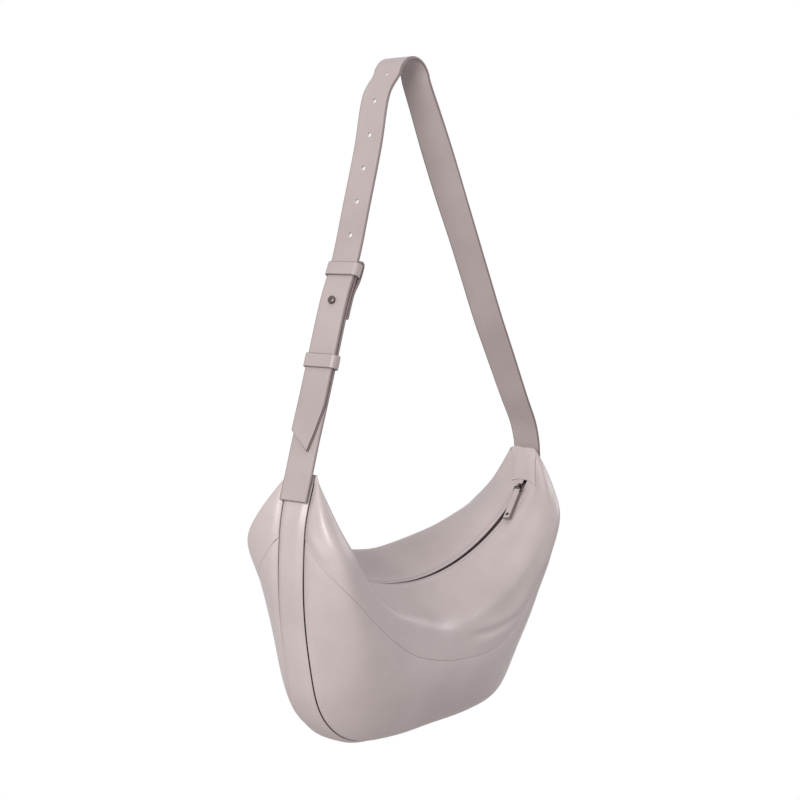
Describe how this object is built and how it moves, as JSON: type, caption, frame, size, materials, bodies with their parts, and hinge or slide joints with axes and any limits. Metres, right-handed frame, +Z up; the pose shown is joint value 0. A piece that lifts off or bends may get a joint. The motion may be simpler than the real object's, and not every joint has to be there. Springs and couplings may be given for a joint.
{
  "type": "shoulder bag",
  "caption": "Soft crescent shoulder bag of smooth leather with a zipped top, an adjustable one-piece strap held by a stud, and a leather zip pull.",
  "frame": {"origin": "underside of the strap at the top of its arch, where the bag hangs", "axes": "+Z up, +X along the bag towards the end where the strap is plain, +Y towards the back"},
  "size_m": [0.3562, 0.1033, 0.58],
  "materials": {
    "leather": "smooth semi-matt mauve-grey leather",
    "edge_leather": "smooth leather with painted edges",
    "lining": "matt woven lining",
    "tape": "matt woven zip tape",
    "teeth": "dark moulded zip teeth",
    "metal": "dark satin metal"
  },
  "bodies": {
    "bag": {"front_yoke": "leather", "back_yoke": "leather", "front_body_panel": "leather", "back_body_panel": "leather", "gusset_strip": "leather", "near_horn_facing": "leather", "far_horn_facing": "leather", "front_lining": "lining", "back_lining": "lining", "long_strap": "leather", "lower_strap": "leather", "upper_keeper": "leather", "strap_stud": "metal", "stud_screw": "metal", "zip_tape_front": "tape", "zip_tape_back": "tape", "zip_teeth_front": "teeth", "zip_teeth_back": "teeth", "zip_stop_near": "metal", "zip_stop_far": "metal"},
    "slider": {"zip_slider": "metal"},
    "pull": {"zip_pull_link": "metal", "zip_pull_tab": "edge_leather", "zip_pull_rivet": "metal"},
    "sliding_keeper": {"lower_keeper": "leather"}
  },
  "joints": [
    {"name": "zip_slide", "type": "hinge", "parent": "bag", "child": "slider", "pos_m": [0.02468, -0.00826, -0.24469], "axis": [0.0819, 0.9945, 0.0654], "range_deg": [0, 76]},
    {"name": "pull_swing", "type": "hinge", "parent": "slider", "child": "pull", "pos_m": [0.17011, -0.01113, -0.38311], "axis": [-0.0981, 0.9875, -0.1235], "range_deg": [0, 120]},
    {"name": "keeper_slide", "type": "slide", "parent": "bag", "child": "sliding_keeper", "axis": [0.3331, 0, 0.9429], "range_m": [-0.014, 0.014]}
  ]
}
